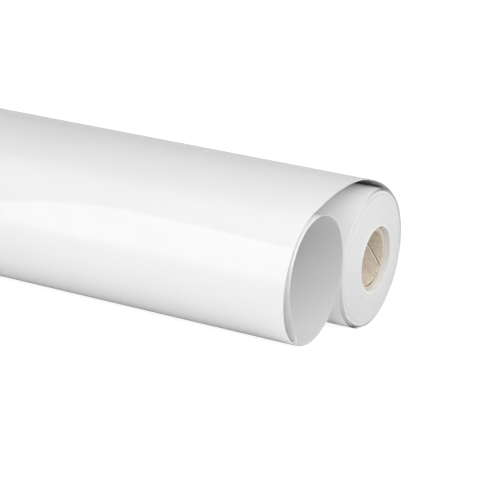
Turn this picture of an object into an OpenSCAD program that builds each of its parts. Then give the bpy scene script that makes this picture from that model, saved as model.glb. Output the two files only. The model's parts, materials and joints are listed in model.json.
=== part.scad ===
// Roll of self-adhesive sign vinyl on a spiral-wound paperboard core. The outer laps have sprung
// loose, and the free end arches off the top of the roll into a curl that lies in front of it.
// X runs along the core, Y to the back and Z up, from the middle of the core's bore.

/* [Core] */
// Bore of the paperboard core, for a 3 inch arbor
core_bore_d = 76.2; // [75:0.1:78]
// Wall of the core
core_wall = 7.6; // [6:0.2:10]
// Number of body plies between the inner and the outer ply
body_plies = 8; // [4:1:12]
// Thickness of the inner ply and of the outer ply
face_ply_t = 0.6; // [0.3:0.1:0.9]
// How far the core stops short of the web at each end
core_short = 1.5; // [0:0.5:5]

/* [Start tape] */
// Width of the strip that holds the start of the web on the core
tape_w = 25; // [15:1:40]
// Thickness of the tape
tape_t = 0.2; // [0.1:0.05:0.4]
// How far the tape stops short of the core at each end
tape_short = 10; // [8:1:20]

/* [Web] */
// Width of the web, 24 inches
web_w = 610; // [300:5:1400]
// Thickness of the vinyl film with its adhesive
film_t = 0.12; // [0.08:0.01:0.15]
// Thickness of the release liner
liner_t = 0.18; // [0.1:0.01:0.2]

/* [Roll] */
// Radius of the tightly wound pack
pack_r = 94.3; // [88:0.1:100]
// How far the innermost laps have crept along the core, towards +X
pack_creep = 6.5; // [0:0.5:10]
// Gap between the pack and the first loose lap
pack_gap = 0.4; // [0.4:0.05:0.6]
// Loose laps between the pack and the foot of the roll
loose_laps = 1.9; // [1.6:0.05:1.95]
// Radial step from one loose lap to the next
lap_pitch = 0.82; // [0.82:0.01:1]
// Bulge of each loose lap, low on the front of the roll
low_bulge = 3.3; // [0:0.1:4]
// Bulge of each loose lap, on top of the roll
top_bulge = 1.4; // [0:0.1:1.6]
// Depth to which the web settles flat where it lies on the floor
floor_flat = 0.5; // [0.3:0.05:0.6]

/* [Free end] */
// Angle above the back of the roll at which the web leaves it
lift_angle = 53; // [52.5:0.5:53.5]

/* [Hidden] */
core_r = core_bore_d / 2 + core_wall;
core_l = web_w - 2 * core_short;
body_ply_t = (core_wall - 2 * face_ply_t) / body_plies;
tape_angle = tape_w / core_r * 180 / PI;
web_t = film_t + liner_t;

// Angles round the roll, in degrees from its back and rising over its top; further in is a turn less
foot_angle = -90;
first_angle = foot_angle - 360 * loose_laps;
lap_step = 5;

// Bulges of the loose laps: the middle, the half width and the height on each lap
lap_bulges = [[-140, 55, low_bulge], [100, 25, top_bulge]];

// Bends of the free end: distance from where the web leaves the roll, and the bend radius there
web_bends = [[25, 210], [150, 270], [265, 595], [290, 93], [395, 102], [455, 78], [610, 84],
             [700, 92], [790, 75], [870, 73], [930, 86], [990, 2000], [1005, 2000]];
// Radius of the roll that these bends are for
bend_roll_r = 96.5;
bend_step = 5;
// Distance from where the web leaves the roll at which the arch passes into the curl
curl_from = 245;

// Points nearer than this along the web are neighbours, not laps
neighbours = 12;

film_white = [0.94, 0.94, 0.95];
liner_grey = [0.78, 0.78, 0.79];
pack_white = [0.87, 0.87, 0.88];
board_tan = [0.74, 0.63, 0.50];
board_cream = [0.84, 0.78, 0.68];
tape_amber = [0.85, 0.78, 0.55];

$fn = 96;

// Loose laps: a spiral that bulges where the web has sprung off the lap below
function turns(a) = (a - first_angle) / 360;
function from_middle(a, middle) = abs((a - middle + 1620) % 360 - 180);
function bulge(a, b) = let (d = from_middle(a, b[0])) d < b[1] ? b[2] * pow(cos(90 * d / b[1]), 2) : 0;
function bulges(a) = bulge(a, lap_bulges[0]) + bulge(a, lap_bulges[1]);
function lap_r(a) = pack_r + pack_gap + liner_t + turns(a) * (lap_pitch + bulges(a));

// Height of the floor, and of the seam between film and liner where the web lies flat on it
floor_z = floor_flat - lap_r(foot_angle) - film_t;
flat_z = floor_z + film_t;
function lap_floor(a) = flat_z + lap_pitch * max(0, round((foot_angle - a) / 360));
function lap_point(a) = [lap_r(a) * cos(a), max(lap_r(a) * sin(a), lap_floor(a))];

loose_n = ceil((foot_angle - first_angle) / lap_step);
outer_n = ceil((lift_angle - foot_angle) / lap_step);
loose_points = [for (i = [0 : loose_n]) lap_point(first_angle + i / loose_n * (foot_angle - first_angle))];
outer_points = [for (i = [1 : outer_n]) lap_point(foot_angle + i / outer_n * (lift_angle - foot_angle))];

// Free end: the bends are run up into directions, and the directions into points
function running(v, start) =
    [for (i = 0, sum = start; i <= len(v); sum = sum + (i < len(v) ? v[i] : 0 * start), i = i + 1) sum];

lift_r = lap_r(lift_angle);
bend_scale = lift_r / bend_roll_r;
bend_table = concat([[0, 1 / lift_r]], [for (b = web_bends) [b[0] * bend_scale, 1 / (b[1] * bend_scale)]]);
free_n = web_bends[len(web_bends) - 1][0] / bend_step;
free_ds = bend_step * bend_scale;
free_turns = [for (i = [0 : free_n - 1]) free_ds * lookup((i + 0.5) * free_ds, bend_table) * 180 / PI];
headings = running(free_turns, lift_angle + 90);
free_steps = [for (i = [0 : free_n - 1])
    let (h = (headings[i] + headings[i + 1]) / 2) free_ds * [cos(h), sin(h)]];
free_points = [for (p = running(free_steps, lap_point(lift_angle))) [p[0], max(p[1], flat_z)]];

// The whole web, along the seam between film and liner, from the pack to the free end
web = concat(loose_points, outer_points, [for (i = [1 : free_n]) free_points[i]]);
last = len(web) - 1;
foot_i = loose_n;
lift_i = loose_n + outer_n;
curl_i = lift_i + curl_from / bend_step;
curl_foot_i = lift_i + len([for (h = headings) if (h < 360) h]);

// Direction out of the roll or of the curl at a point of the web
function outward(i) =
    let (along = web[min(last, i + 1)] - web[max(0, i - 1)]) [along[1], -along[0]] / norm(along);
function offset_points(a, b, d) = [for (i = [a : sign(b - a) : b]) web[i] + d * outward(i)];

function gap_to_stretch(p, a, b) =
    let (d = b - a, t = max(0, min(1, (p - a) * d / (d * d)))) norm(p - a - t * d);
least_gap = min([for (i = [0 : last]) for (j = [0 : last - 1])
    if (abs(i - j) > neighbours) gap_to_stretch(web[i], web[j], web[j + 1])]) - web_t;
echo(least_gap_of_the_web_to_itself_mm = least_gap, floor_z_mm = floor_z, lift_r_mm = lift_r);

// A layer of the web between two of its points, from its inner to its outer face
module layer(from_i, to_i, inner, outer) {
    rotate([90, 0, 90])
        linear_extrude(web_w, center = true)
            polygon(concat(offset_points(from_i, to_i, outer), offset_points(to_i, from_i, inner)));
}

module film(from_i, to_i) {
    color(film_white) layer(from_i, to_i, 0, film_t);
}

module liner(from_i, to_i) {
    color(liner_grey) layer(from_i, to_i, -liner_t, 0);
}

// A ply of the core, between two radii
module ply(inner_r, outer_r) {
    rotate([0, 90, 0])
        difference() {
            cylinder(h = core_l, r = outer_r, center = true);
            cylinder(h = core_l + 2, r = inner_r, center = true);
        }
}

module core_inner_ply() {
    color(board_tan) ply(core_bore_d / 2, core_bore_d / 2 + face_ply_t);
}

module core_ply(i) {
    inner_r = core_bore_d / 2 + face_ply_t + (i - 1) * body_ply_t;
    color(board_tan) ply(inner_r, inner_r + body_ply_t);
}

module core_outer_ply() {
    color(board_cream) ply(core_r - face_ply_t, core_r);
}

// The tape's strip round the core, between two radii
module tape_strip(inner_r, outer_r) {
    rotate([0, 90, 0])
        rotate_extrude(angle = tape_angle)
            translate([inner_r, tape_short - core_l / 2])
                square([outer_r - inner_r, core_l - 2 * tape_short]);
}

module start_tape() {
    color(tape_amber) tape_strip(core_r, core_r + tape_t);
}

// The wound pack, with ends that slope as its inner laps have crept along the core
module wound_pack() {
    color(pack_white)
        difference() {
            rotate([0, 90, 0])
                rotate_extrude()
                    polygon([[core_r, pack_creep - web_w / 2], [pack_r, -web_w / 2],
                             [pack_r, web_w / 2], [core_r, web_w / 2 + pack_creep]]);
            tape_strip(core_r - face_ply_t, core_r + tape_t);
        }
}

core_inner_ply();
for (i = [1 : body_plies]) core_ply(i);
core_outer_ply();
start_tape();
wound_pack();
film(0, foot_i);  // loose_laps_film
liner(0, foot_i);  // loose_laps_liner
film(foot_i, lift_i);  // outer_lap_film
liner(foot_i, lift_i);  // outer_lap_liner
film(lift_i, curl_i);  // arch_film
liner(lift_i, curl_i);  // arch_liner
film(curl_i, curl_foot_i);  // curl_front_film
liner(curl_i, curl_foot_i);  // curl_front_liner
film(curl_foot_i, last);  // curl_film
liner(curl_foot_i, last);  // curl_liner
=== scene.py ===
"""Looks of a roll of white sign vinyl, whose free end lies curled in front of it."""

import json
import math

import bmesh
import bpy
import numpy as np
from mathutils import Matrix, Vector


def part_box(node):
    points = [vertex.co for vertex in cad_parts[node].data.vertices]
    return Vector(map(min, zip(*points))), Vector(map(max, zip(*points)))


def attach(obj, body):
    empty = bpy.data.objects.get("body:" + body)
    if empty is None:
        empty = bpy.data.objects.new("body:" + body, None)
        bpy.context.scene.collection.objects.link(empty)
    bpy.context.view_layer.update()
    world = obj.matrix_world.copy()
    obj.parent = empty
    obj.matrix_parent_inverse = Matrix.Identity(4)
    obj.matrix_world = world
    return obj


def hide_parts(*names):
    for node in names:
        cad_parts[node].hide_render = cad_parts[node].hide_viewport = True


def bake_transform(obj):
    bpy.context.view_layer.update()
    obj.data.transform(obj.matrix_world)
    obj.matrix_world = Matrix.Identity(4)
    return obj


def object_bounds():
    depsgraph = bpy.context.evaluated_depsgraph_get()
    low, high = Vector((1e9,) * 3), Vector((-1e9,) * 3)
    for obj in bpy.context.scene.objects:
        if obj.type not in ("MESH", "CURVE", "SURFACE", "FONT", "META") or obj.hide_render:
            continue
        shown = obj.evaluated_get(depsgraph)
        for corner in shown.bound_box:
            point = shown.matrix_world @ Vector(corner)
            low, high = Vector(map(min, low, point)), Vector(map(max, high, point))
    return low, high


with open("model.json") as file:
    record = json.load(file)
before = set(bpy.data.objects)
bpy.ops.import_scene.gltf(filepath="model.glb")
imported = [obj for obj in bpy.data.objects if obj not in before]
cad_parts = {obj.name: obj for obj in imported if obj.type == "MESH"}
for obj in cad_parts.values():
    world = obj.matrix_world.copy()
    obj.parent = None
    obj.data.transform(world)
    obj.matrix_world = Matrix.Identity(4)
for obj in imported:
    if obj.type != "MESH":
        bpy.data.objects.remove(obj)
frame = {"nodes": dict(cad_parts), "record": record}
cad_low, cad_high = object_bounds()

MM = 0.001
rng = np.random.default_rng(24)


# Camera, at the viewing angle of the photograph: from the front right, a little above, and tipped
CAMERA_PLACE = Vector((1.351, -2.513, 0.461))
CAMERA_AZIMUTH = 26.43
CAMERA_ELEVATION = 9.58
CAMERA_ROLL = 7.32
CAMERA_LENS = 152.0

camera = bpy.data.objects.new("camera", bpy.data.cameras.new("camera"))
camera.data.lens = CAMERA_LENS
camera.matrix_world = (
    Matrix.Translation(CAMERA_PLACE)
    @ Matrix.Rotation(math.radians(CAMERA_AZIMUTH), 4, "Z")
    @ Matrix.Rotation(math.radians(90 - CAMERA_ELEVATION), 4, "X")
    @ Matrix.Rotation(math.radians(CAMERA_ROLL), 4, "Z")
)
bpy.context.scene.collection.objects.link(camera)
bpy.context.scene.camera = camera


# Sizes that the frame gives
FLOOR_Z = cad_low.z
WEB_W = 2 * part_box("curl_film")[1].x
PACK_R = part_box("wound_pack")[1].z
PACK_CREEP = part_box("wound_pack")[1].x - WEB_W / 2
CORE_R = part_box("core_outer_ply")[1].z
CORE_L = 2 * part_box("core_outer_ply")[1].x
INNER_PLY_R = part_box("core_inner_ply")[1].z
BORE_R = frame["record"]["mounts"][0]["dims"]["r_mm"] * MM

# The web: its layers, and how its loose laps and its free end lie
FILM_T = 0.12 * MM
LINER_T = 0.18 * MM
PACK_GAP = 0.4 * MM
LOOSE_LAPS = 1.9
LAP_PITCH = 0.82 * MM
FOOT_ANGLE = -90
LIFT_ANGLE = 53
FIRST_ANGLE = FOOT_ANGLE - 360 * LOOSE_LAPS
# Bulges of the loose laps: the middle and the half width, in degrees, and the height on each lap
LAP_BULGES = [(-140, 55, 3.3 * MM), (100, 25, 1.4 * MM)]
# Bends of the free end: distance from where the web leaves the roll and the bend radius there, in mm
WEB_BENDS = [(25, 210), (150, 270), (265, 595), (290, 93), (395, 102), (455, 78), (610, 84),
             (700, 92), (790, 75), (870, 73), (930, 86), (990, 2000), (1005, 2000)]
# Radius of the roll that these bends are for, in mm
BEND_ROLL_R = 96.5
# How far the laps have slipped along the core, towards +X: the last lap of the pack; the lap next to it,
# round this angle in degrees; and the free end, which slips between these distances along it, in mm
PACK_SLIP = -0.6 * MM
LAP_SLIP = 3.6 * MM
LAP_SLIP_AT, LAP_SLIP_SPREAD = -500, 70
END_SLIP = 4 * MM
END_SLIP_FROM, END_SLIP_TO = 455, 760
# Steps of the drawn path: in degrees along the laps, and in mm along the free end
LAP_STEP = 1.5
FREE_STEP = 2.5


# Helpers for materials
def linear(code):
    """The linear colour of an sRGB hex code."""
    parts = [int(code[i : i + 2], 16) / 255 for i in (1, 3, 5)]
    return (*[c / 12.92 if c <= 0.04045 else ((c + 0.055) / 1.055) ** 2.4 for c in parts], 1)


def add(tree, kind, inputs=(), **settings):
    """A node with its settings, and with each input set to a value or linked from an output."""
    node = tree.nodes.new(kind)
    for name, value in settings.items():
        setattr(node, name, value)
    for socket, value in dict(inputs).items():
        if isinstance(value, bpy.types.NodeSocket):
            tree.links.new(value, node.inputs[socket])
        else:
            node.inputs[socket].default_value = value
    return node


def new_material(name, **constants):
    """A material, its node tree and its Principled shader, with the shader's constant sockets set."""
    made = bpy.data.materials.new(name)
    made.use_nodes = True
    shader = made.node_tree.nodes["Principled BSDF"]
    for socket, value in constants.items():
        shader.inputs[socket.replace("_", " ")].default_value = value
    return made, made.node_tree, shader


def wire(tree, shader, outputs):
    """Links each output to the shader's socket of that name."""
    for socket, output in outputs.items():
        tree.links.new(output, shader.inputs[socket])


# Sockets of a colour Mix node
MIX_A = 6
MIX_B = 7
MIX_RESULT = 2


# Gloss white calendered PVC film: a clean softbox reflection, over a faint cloudiness and a fine
# orange peel that the calender rolls leave
def gloss_pvc_film():
    made, tree, shader = new_material("gloss_white_pvc_film", IOR=1.58)
    place = add(tree, "ShaderNodeTexCoord").outputs["Object"]
    cloud = add(tree, "ShaderNodeTexNoise", {"Vector": place, "Scale": 1 / (90 * MM), "Detail": 2})
    tint = add(tree, "ShaderNodeMix", {0: cloud.outputs["Fac"], MIX_A: linear("#f3f3f4"),
                                       MIX_B: linear("#eeeeef")}, data_type="RGBA")
    # Streaks run along the web, which is any way but X, and are 6 mm apart
    along = add(tree, "ShaderNodeMapping", {"Vector": place, "Scale": (1 / (6 * MM), 4, 4)})
    streak = add(tree, "ShaderNodeTexNoise", {"Vector": along.outputs[0], "Scale": 1, "Detail": 3})
    rough = add(tree, "ShaderNodeMapRange", {"Value": streak.outputs["Fac"],
                                             "To Min": 0.04, "To Max": 0.06})
    peel = add(tree, "ShaderNodeTexNoise", {"Vector": place, "Scale": 1 / (1.4 * MM), "Detail": 1})
    bump = add(tree, "ShaderNodeBump", {"Height": peel.outputs["Fac"], "Strength": 0.15,
                                        "Distance": 0.02 * MM})
    wire(tree, shader, {"Base Color": tint.outputs[MIX_RESULT], "Roughness": rough.outputs[0],
                        "Normal": bump.outputs[0]})
    return made


# Silicone-coated release paper: pale grey and satin, with the paper's formation showing as soft mottle
def release_paper():
    made, tree, shader = new_material("silicone_release_paper", IOR=1.45)
    place = add(tree, "ShaderNodeTexCoord").outputs["Object"]
    mottle = add(tree, "ShaderNodeTexNoise", {"Vector": place, "Scale": 1 / (5 * MM), "Detail": 4})
    tint = add(tree, "ShaderNodeMix", {0: mottle.outputs["Fac"], MIX_A: linear("#e2e2e2"),
                                       MIX_B: linear("#dbdbdb")}, data_type="RGBA")
    grain = add(tree, "ShaderNodeTexNoise", {"Vector": place, "Scale": 1 / (0.8 * MM), "Detail": 3})
    rough = add(tree, "ShaderNodeMapRange", {"Value": grain.outputs["Fac"],
                                             "To Min": 0.42, "To Max": 0.55})
    bump = add(tree, "ShaderNodeBump", {"Height": grain.outputs["Fac"], "Strength": 0.2,
                                        "Distance": 0.03 * MM})
    wire(tree, shader, {"Base Color": tint.outputs[MIX_RESULT], "Roughness": rough.outputs[0],
                        "Normal": bump.outputs[0]})
    return made


# Slit edges of the wound web: white film and grey paper edges in turn, which the eye sees as faint
# rings. The laps are 0.3 mm apart, so the rings are drawn 1.6 mm and 7 mm apart to show
def slit_web_edges(name, light, dark):
    made, tree, shader = new_material(name, Roughness=0.6, IOR=1.5)
    place = add(tree, "ShaderNodeTexCoord").outputs["Object"]
    flat = add(tree, "ShaderNodeMapping", {"Vector": place, "Scale": (0, 1, 1)})
    radius = add(tree, "ShaderNodeVectorMath", {0: flat.outputs[0]}, operation="LENGTH").outputs["Value"]
    fine = add(tree, "ShaderNodeTexNoise", {"W": radius, "Scale": 1 / (1.6 * MM), "Detail": 2},
               noise_dimensions="1D")
    broad = add(tree, "ShaderNodeTexNoise", {"W": radius, "Scale": 1 / (7 * MM), "Detail": 1},
                noise_dimensions="1D")
    rings = add(tree, "ShaderNodeMath", {0: fine.outputs["Fac"], 1: broad.outputs["Fac"]},
                operation="ADD")
    share = add(tree, "ShaderNodeMapRange", {"Value": rings.outputs[0],
                                             "From Min": 0.6, "From Max": 1.4})
    tint = add(tree, "ShaderNodeMix", {0: share.outputs[0], MIX_A: linear(dark), MIX_B: linear(light)},
               data_type="RGBA")
    bump = add(tree, "ShaderNodeBump", {"Height": fine.outputs["Fac"], "Strength": 0.15,
                                        "Distance": 0.15 * MM})
    wire(tree, shader, {"Base Color": tint.outputs[MIX_RESULT], "Normal": bump.outputs[0]})
    return made


# Spiral-wound paperboard: matt tan board of mixed recycled fibre, with flecks and a soft mottle. The
# flecks are drawn 1.5 mm apart, about twice their size, to show
def paperboard(name, light, dark):
    made, tree, shader = new_material(name, IOR=1.4)
    place = add(tree, "ShaderNodeTexCoord").outputs["Object"]
    mottle = add(tree, "ShaderNodeTexNoise", {"Vector": place, "Scale": 1 / (9 * MM), "Detail": 2})
    fleck = add(tree, "ShaderNodeTexNoise", {"Vector": place, "Scale": 1 / (1.5 * MM), "Detail": 4,
                                             "Roughness": 0.7})
    # The flecks count three times as much as the mottle
    both = add(tree, "ShaderNodeMath", {0: fleck.outputs["Fac"], 1: 3, 2: mottle.outputs["Fac"]},
               operation="MULTIPLY_ADD")
    share = add(tree, "ShaderNodeMapRange", {"Value": both.outputs[0],
                                             "From Min": 1.55, "From Max": 2.45})
    tint = add(tree, "ShaderNodeMix", {0: share.outputs[0], MIX_A: linear(dark), MIX_B: linear(light)},
               data_type="RGBA")
    rough = add(tree, "ShaderNodeMapRange", {"Value": fleck.outputs["Fac"],
                                             "To Min": 0.78, "To Max": 0.95})
    bump = add(tree, "ShaderNodeBump", {"Height": both.outputs[0], "Strength": 0.5,
                                        "Distance": 0.12 * MM})
    wire(tree, shader, {"Base Color": tint.outputs[MIX_RESULT], "Roughness": rough.outputs[0],
                        "Normal": bump.outputs[0]})
    return made


# Crepe paper tape: amber and satin, with creases across it about 0.8 mm apart
def crepe_tape():
    made, tree, shader = new_material("amber_crepe_tape", IOR=1.47)
    place = add(tree, "ShaderNodeTexCoord").outputs["Object"]
    across = add(tree, "ShaderNodeMapping", {"Vector": place, "Scale": (1 / (0.8 * MM), 60, 60)})
    crease = add(tree, "ShaderNodeTexNoise", {"Vector": across.outputs[0], "Scale": 1, "Detail": 2})
    tint = add(tree, "ShaderNodeMix", {0: crease.outputs["Fac"], MIX_A: linear("#cdb277"),
                                       MIX_B: linear("#e2cb96")}, data_type="RGBA")
    rough = add(tree, "ShaderNodeMapRange", {"Value": crease.outputs["Fac"],
                                             "To Min": 0.45, "To Max": 0.7})
    bump = add(tree, "ShaderNodeBump", {"Height": crease.outputs["Fac"], "Strength": 0.6,
                                        "Distance": 0.08 * MM})
    wire(tree, shader, {"Base Color": tint.outputs[MIX_RESULT], "Roughness": rough.outputs[0],
                        "Normal": bump.outputs[0]})
    return made


film_white = gloss_pvc_film()
liner_grey = release_paper()
pack_white = slit_web_edges("slit_edges_of_wound_web", "#cdcdcd", "#c2c2c3")
# The edges of the first laps are painted a lighter cream than the pack, a painted highlight along the
# bore's rim
first_laps_rim_highlight = slit_web_edges("edges_of_first_laps_with_painted_rim_highlight", "#e6e1d7", "#dcd7cc")
board_tan = paperboard("tan_spiral_paperboard", "#efe6d9", "#c6b8a6")
# Brown board of the ply under the inner ply, painted darker so that the open seam over it shows as a dark
# line: partly the board's own colour, partly painted shade
board_inner_and_seam_shade = paperboard("brown_body_paperboard_with_painted_seam_shade", "#8a7660", "#6a5845")
board_cut = paperboard("cream_cut_paperboard", "#c9c1b4", "#b8afa1")
# Paler cream for the strip's torn edges and cut ends, made lighter along the seam as a painted highlight:
# partly the torn fibre's own colour, partly painted light
board_edge_and_seam_highlight = paperboard("torn_cream_paperboard_and_painted_seam_highlight", "#f6eede", "#e8dfcd")
tape_amber = crepe_tape()


# Helpers for meshes
# Edges that turn by more than this many degrees stay sharp
SHARP_EDGE = 40


def new_piece(name, points, faces, *materials):
    """An object of that mesh, smooth but for its sharp edges."""
    mesh = bpy.data.meshes.new(name)
    mesh.from_pydata([tuple(p) for p in points], [], faces)
    mesh.validate()
    mesh.shade_smooth()
    mesh.set_sharp_from_angle(angle=math.radians(SHARP_EDGE))
    for m in materials:
        mesh.materials.append(m)
    made = bpy.data.objects.new(name, mesh)
    bpy.context.scene.collection.objects.link(made)
    return made


def shell(name, outer, inner, *materials):
    """A closed shell between two grids of points with the same rows and columns."""
    rows, columns = outer.shape[:2]
    at = np.arange(rows * columns).reshape(rows, columns)
    under = at + rows * columns
    faces = []
    for i in range(rows - 1):
        for j in range(columns - 1):
            faces.append((at[i, j], at[i + 1, j], at[i + 1, j + 1], at[i, j + 1]))
            faces.append((under[i, j], under[i, j + 1], under[i + 1, j + 1], under[i + 1, j]))
    rim = [*at[:, 0], *at[-1, 1:], *at[-2::-1, -1], *at[0, -2:0:-1]]
    low = [*under[:, 0], *under[-1, 1:], *under[-2::-1, -1], *under[0, -2:0:-1]]
    for k in range(len(rim)):
        faces.append((rim[k - 1], low[k - 1], low[k], rim[k]))
    points = np.concatenate([outer.reshape(-1, 3), inner.reshape(-1, 3)])
    return new_piece(name, points.tolist(), [tuple(int(v) for v in f) for f in faces], *materials)


# The web's path, along the seam between its film and its liner, in the plane across the core
def lap_bulge(angles):
    """How far a loose lap stands off the lap below, at each angle."""
    total = np.zeros_like(angles)
    for middle, half_width, height in LAP_BULGES:
        away = np.abs((angles - middle + 180) % 360 - 180)
        swell = height * np.cos(np.radians(90 * away / half_width)) ** 2
        total += np.where(away < half_width, swell, 0)
    return total


def lap_radius(angles):
    """The radius of the seam on the loose laps, which step outward with each turn."""
    turns = (angles - FIRST_ANGLE) / 360
    return PACK_R + PACK_GAP + LINER_T + turns * (LAP_PITCH + lap_bulge(angles))


def lap_points(start, end):
    """The laps between two angles. They settle flat where they lie on the floor, or on the lap below."""
    angles = np.linspace(start, end, math.ceil((end - start) / LAP_STEP) + 1)
    radius = lap_radius(angles)
    floor = FLOOR_Z + FILM_T + LAP_PITCH * np.maximum(0, np.round((FOOT_ANGLE - angles) / 360))
    rise = np.maximum(radius * np.sin(np.radians(angles)), floor)
    return np.column_stack([radius * np.cos(np.radians(angles)), rise])


def free_points():
    """The free end, from its bends: the points, the distance along it and its heading in degrees."""
    lift_r = lap_radius(np.array([float(LIFT_ANGLE)]))[0]
    scale = lift_r / MM / BEND_ROLL_R
    at = [0] + [distance for distance, _ in WEB_BENDS]
    bend = [1 / lift_r] + [1 / (radius * MM * scale) for _, radius in WEB_BENDS]
    distance = np.arange(0, at[-1] + FREE_STEP / 2, FREE_STEP)
    turn = np.interp(distance[:-1] + FREE_STEP / 2, at, bend) * FREE_STEP * MM * scale
    heading = math.radians(LIFT_ANGLE + 90) + np.concatenate([[0], np.cumsum(turn)])
    middle = (heading[1:] + heading[:-1]) / 2
    steps = FREE_STEP * MM * scale * np.column_stack([np.cos(middle), np.sin(middle)])
    start = lap_points(LIFT_ANGLE - LAP_STEP, LIFT_ANGLE)[-1]
    points = start + np.concatenate([np.zeros((1, 2)), np.cumsum(steps, axis=0)])
    points[:, 1] = np.maximum(points[:, 1], FLOOR_Z + FILM_T)
    return points, distance, np.degrees(heading)


loose = lap_points(FIRST_ANGLE, FOOT_ANGLE)
outer_lap = lap_points(FOOT_ANGLE, LIFT_ANGLE)
free_end, free_distance, free_heading = free_points()
web = np.concatenate([loose, outer_lap[1:], free_end[1:]])
foot_i = len(loose) - 1
lift_i = foot_i + len(outer_lap) - 1
curl_foot_i = lift_i + int(np.searchsorted(free_heading, 360))
along_web = np.gradient(web, axis=0)
outward = np.column_stack([along_web[:, 1], -along_web[:, 0]])
outward /= np.linalg.norm(outward, axis=1)[:, None]

# How far each point of the web has slipped along the core
end_share = np.clip((free_distance[1:] - END_SLIP_FROM) / (END_SLIP_TO - END_SLIP_FROM), 0, 1)
loose_angles = np.linspace(FIRST_ANGLE, FOOT_ANGLE, len(loose))
loose_slip = PACK_SLIP * (FOOT_ANGLE - loose_angles) / (FOOT_ANGLE - FIRST_ANGLE)
loose_slip += LAP_SLIP * np.exp(-(((loose_angles - LAP_SLIP_AT) / LAP_SLIP_SPREAD) ** 2))
end_slip = END_SLIP * end_share**2 * (3 - 2 * end_share)
slip = np.concatenate([loose_slip, np.zeros(len(outer_lap) - 1), end_slip])


# The layers of the web
WEB_COLUMNS = 25
# The two layers are drawn this far apart, where the adhesive lies
LAYER_GAP = 0.01 * MM
FILM_FACES = (FILM_T, LAYER_GAP)
LINER_FACES = (-LAYER_GAP, -LINER_T)


def web_layer(name, start, end, faces, finish):
    """A layer of the web between two of its points, as a sheet with its own thickness."""
    across = np.linspace(-WEB_W / 2, WEB_W / 2, WEB_COLUMNS)
    grids = []
    for distance in faces:
        line = web[start : end + 1] + distance * outward[start : end + 1]
        grid = np.empty((len(line), WEB_COLUMNS, 3))
        grid[:, :, 0] = across + slip[start : end + 1, None]
        grid[:, :, 1:] = line[:, None]
        grids.append(grid)
    return shell(name, *grids, finish)


LAYERS = (
    ("film", FILM_FACES, film_white, "vinyl_film"),
    ("liner", LINER_FACES, liner_grey, "release_liner"),
)
for layer, layer_faces, finish, slot in LAYERS:
    laps = web_layer(f"loose_laps_{layer}_sheet", 0, foot_i, layer_faces, finish)
    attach(laps, "web")
    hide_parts(f"loose_laps_{layer}")

    draw = web_layer(f"outer_web_{layer}_sheet", foot_i, curl_foot_i, layer_faces, finish)
    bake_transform(draw)
    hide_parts(f"outer_lap_{layer}", f"arch_{layer}", f"curl_front_{layer}")

    curl = web_layer(f"curl_{layer}_sheet", curl_foot_i, len(web) - 1, layer_faces, finish)
    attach(curl, "curl")
    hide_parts(f"curl_{layer}")


# The wound pack, one spiral from the core to the first loose lap. The real laps are 0.3 mm thick and are
# drawn 0.6 mm thick, so that their edges show
DRAWN_LAP = 0.6 * MM
# Share of a lap that its slit edge takes up. The rest slopes to the next lap
LAP_FACE = 0.8
TURN_STEPS = 120
# Room for the tape, between the core and the first lap
PACK_START = 0.25 * MM
# How far the slit edges wander along the core, and how many steps pass from one wander to the next
EDGE_WANDER = 0.06 * MM
WANDER_STEPS = 40
# Drawn laps next to the core, whose edges are painted a lighter cream: a painted highlight along the
# bore's rim
FIRST_LAPS = 3


def wound_spiral():
    """The pack as a closed mesh: each lap's slit edges at both ends, the bore and the outside."""
    inner_r = CORE_R + PACK_START
    turns = round((PACK_R - inner_r) / DRAWN_LAP)
    lap = (PACK_R - inner_r) / turns
    count = turns * TURN_STEPS + 1
    k = np.arange(count)
    angle = 2 * math.pi * k / TURN_STEPS
    radius = inner_r + lap * k / TURN_STEPS - lap * k / (count - 1)
    creep = PACK_CREEP + (PACK_SLIP - PACK_CREEP) * (radius - inner_r) / (PACK_R - inner_r)
    points = []
    for side in (1, -1):
        knots = rng.normal(0, EDGE_WANDER, count // WANDER_STEPS + 2)
        wander = np.interp(k / WANDER_STEPS, np.arange(len(knots)), knots)
        end = side * WEB_W / 2 + creep + wander
        for r in (radius, radius + LAP_FACE * lap):
            points.append(np.column_stack([end, r * np.cos(angle), r * np.sin(angle)]))
    faces = []
    right_in, right_out, left_in, left_out = (j * count for j in range(4))
    for i in range(count - 1):
        faces.append((right_in + i, right_out + i, right_out + i + 1, right_in + i + 1))
        faces.append((left_in + i + 1, left_out + i + 1, left_out + i, left_in + i))
    for i in range(count - 1 - TURN_STEPS):
        n = i + TURN_STEPS
        faces.append((right_out + i, right_in + n, right_in + n + 1, right_out + i + 1))
        faces.append((left_out + i + 1, left_in + n + 1, left_in + n, left_out + i))
    for i in range(TURN_STEPS):
        n = count - 1 - TURN_STEPS + i
        faces.append((right_in + i, right_in + i + 1, left_in + i + 1, left_in + i))
        faces.append((right_out + n + 1, right_out + n, left_out + n, left_out + n + 1))
    first, last = TURN_STEPS, count - 1
    faces.append((right_in, left_in, left_out, left_in + first, right_in + first, right_out))
    n = last - TURN_STEPS
    faces.append((right_out + last, left_out + last, left_in + last,
                  left_out + n, right_out + n, right_in + last))
    made = new_piece("wound_pack_spiral", np.concatenate(points).tolist(), faces,
                     pack_white, first_laps_rim_highlight, liner_grey)
    # The first laps' edges take the lighter cream, a painted highlight along the bore's rim
    for i in range(2 * FIRST_LAPS * TURN_STEPS):
        made.data.polygons[i].material_index = 1
    # The first lap's liner lines the bore
    for i in range(len(faces) - 2 - 2 * TURN_STEPS, len(faces) - 2, 2):
        made.data.polygons[i].material_index = 2
    return made


pack = wound_spiral()
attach(pack, "roll")
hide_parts("wound_pack")


# The core's inner ply: one strip of board laid in a spiral, with an open seam where its turns meet.
# The seam's advance in a turn, and the place along the core where it crosses the back
SEAM_PITCH = 204.7 * MM
SEAM_AT = 291.1 * MM
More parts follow.
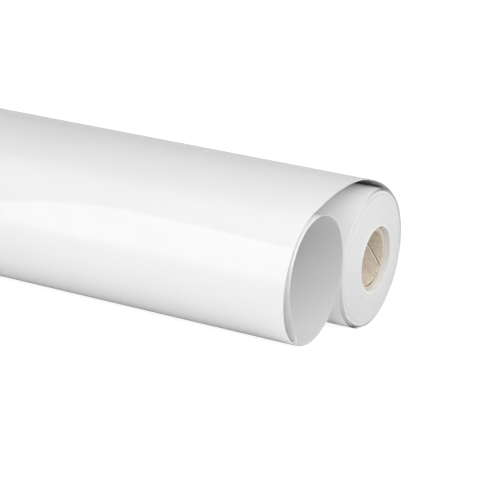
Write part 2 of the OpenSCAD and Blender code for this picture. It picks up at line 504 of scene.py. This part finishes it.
# Width of the open seam, and the worn edges of the strip beside it: width and depth
SEAM_GAP = 1.7 * MM
SEAM_BEVEL = 1.2 * MM
SEAM_LIP = 0.5 * MM
# The strip stops just short of the core's ends, and is torn back low down, round this angle in degrees
STRIP_SHORT = 0.1 * MM
TEAR = 1.8 * MM
TEAR_AT, TEAR_SPREAD = -85, 24
# Steps along the strip in degrees, points across it, and the turn in degrees that stays a sharp edge
STRIP_STEP = 3
STRIP_CELLS = 10
STRIP_SHARP_EDGE = 25


def strip_section():
    """The strip's outline across its width, as distances from the seam and radii."""
    right, left = -SEAM_GAP / 2, -SEAM_PITCH + SEAM_GAP / 2
    face = np.linspace(right - SEAM_BEVEL, left + SEAM_LIP, STRIP_CELLS)
    return [(right, INNER_PLY_R), (right, BORE_R + SEAM_LIP), *[(x, BORE_R) for x in face],
            (left, BORE_R + SEAM_LIP / 2), (left, INNER_PLY_R)]


def inner_ply():
    """The strip wound from end to end, cut off at the core's ends and torn back low down."""
    section = strip_section()
    start = (SEAM_AT - SEAM_PITCH - CORE_L / 2) / SEAM_PITCH * 360 - STRIP_STEP
    end = (SEAM_AT + CORE_L / 2) / SEAM_PITCH * 360 + STRIP_STEP
    angles = np.radians(np.arange(start, end + STRIP_STEP, STRIP_STEP))
    points = [(SEAM_AT - SEAM_PITCH * a / (2 * math.pi) + x, r * math.cos(a), r * math.sin(a))
              for a in angles for x, r in section]
    m = len(section)
    faces = [(i * m + j, i * m + (j + 1) % m, (i + 1) * m + (j + 1) % m, (i + 1) * m + j)
             for i in range(len(angles) - 1) for j in range(m)]
    faces += [tuple(range(m - 1, -1, -1)), tuple(range(len(points) - m, len(points)))]
    made = new_piece("core_inner_ply_strip", points, faces, board_tan, board_edge_and_seam_highlight)
    for i, polygon in enumerate(made.data.polygons):
        # The strip's wall and worn edge beside the seam take the paler cream: torn fibre, painted lighter
        # as a highlight along the seam
        polygon.material_index = int(i % m in (0, 1) and i < m * (len(angles) - 1))
    cut = bmesh.new()
    cut.from_mesh(made.data)
    for side in (1, -1):
        everything = [*cut.verts, *cut.edges, *cut.faces]
        bmesh.ops.bisect_plane(cut, geom=everything, plane_co=(side * (CORE_L / 2 - STRIP_SHORT), 0, 0),
                               plane_no=(side, 0, 0), clear_outer=True)
        open_edges = [e for e in cut.edges if e.is_boundary]
        for vert in {v for e in open_edges for v in e.verts}:
            away = (math.degrees(math.atan2(vert.co.z, vert.co.y)) - TEAR_AT) / TEAR_SPREAD
            vert.co.x -= side * TEAR * math.exp(-away * away)
        filled = bmesh.ops.holes_fill(cut, edges=open_edges)
        for face in filled["faces"]:
            face.material_index = 1
            face.smooth = False
    bmesh.ops.recalc_face_normals(cut, faces=cut.faces)
    cut.to_mesh(made.data)
    cut.free()
    made.data.set_sharp_from_angle(angle=math.radians(STRIP_SHARP_EDGE))
    return made


strip = inner_ply()
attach(strip, "roll")
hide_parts("core_inner_ply")


# The core's other plies and the tape keep their shape and take their finish
finishes = {node: board_cut for node in frame["nodes"] if node.startswith("core_ply_")}
# The ply under the open seam takes the darker brown board, partly painted shade in the seam
finishes.update(core_ply_1=board_inner_and_seam_shade, core_outer_ply=board_cut, start_tape=tape_amber)
for node, finish in finishes.items():
    carried = frame["nodes"][node].data.materials
    carried.clear()
    carried.append(finish)


# Floor: plain white paper that keeps a soft shadow. The camera sees it nearly white, and whiter from the
# near to the far distance, in metres. Reflections see less of that white
FLOOR_SIZE = 40
# It lies this far below the part
FLOOR_DROP = 0.05 * MM
FLOOR_GLOW = 1.2
FLOOR_WHITE = 0.76
FLOOR_FAR_WHITE = 0.86
FLOOR_NEAR, FLOOR_FAR = 0.5, 2.5
FLOOR_REFLECTED = 0.25


def floor_paper():
    made = bpy.data.materials.new("white_floor_paper")
    made.use_nodes = True
    tree = made.node_tree
    tree.nodes.clear()
    bounce = add(tree, "ShaderNodeBsdfDiffuse", {"Color": linear("#f0f0f0")})
    white = add(tree, "ShaderNodeEmission", {"Color": (1, 1, 1, 1), "Strength": FLOOR_GLOW})
    place = add(tree, "ShaderNodeTexCoord").outputs["Object"]
    away = add(tree, "ShaderNodeVectorMath", {0: place}, operation="LENGTH").outputs["Value"]
    share = add(tree, "ShaderNodeMapRange", {
        "Value": away, "From Min": FLOOR_NEAR, "From Max": FLOOR_FAR,
        "To Min": FLOOR_WHITE, "To Max": FLOOR_FAR_WHITE})
    path = add(tree, "ShaderNodeLightPath").outputs
    seen = add(tree, "ShaderNodeMath", {0: path["Is Glossy Ray"], 1: FLOOR_REFLECTED},
               operation="MULTIPLY")
    for straight in ("Is Camera Ray", "Is Transmission Ray"):
        seen = add(tree, "ShaderNodeMath", {0: path[straight], 1: seen.outputs[0]},
                   operation="MAXIMUM")
    seen = add(tree, "ShaderNodeMath", {0: share.outputs[0], 1: seen.outputs[0]},
               operation="MULTIPLY")
    mixed = add(tree, "ShaderNodeMixShader", {0: seen.outputs[0], 1: bounce.outputs[0],
                                              2: white.outputs[0]})
    add(tree, "ShaderNodeOutputMaterial", {"Surface": mixed.outputs[0]})
    return made


half = FLOOR_SIZE / 2
floor_z = FLOOR_Z - FLOOR_DROP
floor = new_piece("floor", [(-half, -half, floor_z), (half, -half, floor_z), (half, half, floor_z),
                            (-half, half, floor_z)], [(0, 1, 2, 3)], floor_paper())


# Light: a pale room, a tall softbox at the front left whose reflection runs along the web, a large panel
# at the front right that fills the end of the roll and the inside of the curl, one at the right that
# reaches under the arch, and one overhead
ROOM_LIGHT = 0.35
# What reflections see of the room: pale walls up to one rise of the line of sight, and a dimmer ceiling
# from the other. The camera sees it white
WALL_SEEN = 0.6
CEILING_SEEN = 0.15
WALL_RISE = 0.02
CEILING_RISE = 0.5

world = bpy.data.worlds.new("pale_room")
bpy.context.scene.world = world
world.use_nodes = True
tree = world.node_tree
tree.nodes.clear()
sight = add(tree, "ShaderNodeTexCoord").outputs["Generated"]
rise = add(tree, "ShaderNodeSeparateXYZ", {0: sight}).outputs["Z"]
path = add(tree, "ShaderNodeLightPath").outputs
seen = add(tree, "ShaderNodeMapRange", {"Value": rise, "From Min": WALL_RISE, "From Max": CEILING_RISE,
                                        "To Min": WALL_SEEN, "To Max": CEILING_SEEN})
room = add(tree, "ShaderNodeMapRange", {"Value": path["Is Glossy Ray"], "To Min": ROOM_LIGHT,
                                        "To Max": seen.outputs[0]})
for straight in ("Is Camera Ray", "Is Transmission Ray"):
    room = add(tree, "ShaderNodeMapRange", {"Value": path[straight],
                                            "To Min": room.outputs[0], "To Max": 1})
backdrop = add(tree, "ShaderNodeBackground", {"Color": (1, 1, 1, 1), "Strength": room.outputs[0]})
add(tree, "ShaderNodeOutputWorld", {"Surface": backdrop.outputs[0]})


def softbox(name, middle, aim, size, watts, mirrored=False):
    """A rectangular lamp at a place, facing a point. The film mirrors it or not."""
    lamp = bpy.data.lights.new(name, "AREA")
    lamp.shape = "RECTANGLE"
    lamp.size, lamp.size_y = size
    lamp.energy = watts
    made = bpy.data.objects.new(name, lamp)
    made.location = middle
    made.rotation_euler = (Vector(aim) - Vector(middle)).to_track_quat("-Z", "Y").to_euler()
    made.visible_camera = False
    made.visible_glossy = mirrored
    bpy.context.scene.collection.objects.link(made)


# The lamps: distance from the core's middle and size in metres, and direction as yaw and tilt. The key has
# its edges given, because its reflection on the web ends where they do
KEY_DISTANCE = 1.4
KEY_YAW = math.radians(-28)
KEY_TILT = math.radians(10)
KEY_LEFT, KEY_RIGHT, KEY_LOW, KEY_HIGH = -0.121, 0.65, -0.34, 0.86
KEY_SIZE = (KEY_RIGHT - KEY_LEFT, KEY_HIGH - KEY_LOW)
KEY_WATTS = 3.6
FILL_DISTANCE = 5
FILL_YAW = math.radians(52)
FILL_TILT = math.radians(28)
FILL_SIZE = (3.6, 3.3)
FILL_WATTS = 114
RIGHT_DISTANCE = 3
RIGHT_YAW = math.radians(90)
RIGHT_TILT = math.radians(22)
RIGHT_SIZE = (1.6, 1.6)
RIGHT_WATTS = 32
TOP_DISTANCE = 3
TOP_YAW = math.radians(90)
TOP_TILT = math.radians(74)
TOP_SIZE = (2.4, 2.4)
TOP_WATTS = 20


def lamp_way(yaw, tilt):
    """The direction of a lamp, turned from the front to the right and then up."""
    return Vector((math.sin(yaw) * math.cos(tilt), -math.cos(yaw) * math.cos(tilt), math.sin(tilt)))


key_way = lamp_way(KEY_YAW, KEY_TILT)
key_side = Vector((math.cos(KEY_YAW), math.sin(KEY_YAW), 0))
key_up = key_side.cross(-key_way)
key_aim = key_side * (KEY_LEFT + KEY_RIGHT) / 2 + key_up * (KEY_LOW + KEY_HIGH) / 2
softbox("key_softbox", key_way * KEY_DISTANCE + key_aim, key_aim, KEY_SIZE, KEY_WATTS,
        mirrored=True)
softbox("fill_panel", lamp_way(FILL_YAW, FILL_TILT) * FILL_DISTANCE, (0, 0, 0), FILL_SIZE, FILL_WATTS)
softbox("right_panel", lamp_way(RIGHT_YAW, RIGHT_TILT) * RIGHT_DISTANCE, (0, 0, 0), RIGHT_SIZE,
        RIGHT_WATTS)
softbox("top_panel", lamp_way(TOP_YAW, TOP_TILT) * TOP_DISTANCE, (0, 0, 0), TOP_SIZE, TOP_WATTS)

bpy.context.scene.view_settings.view_transform = "Standard"
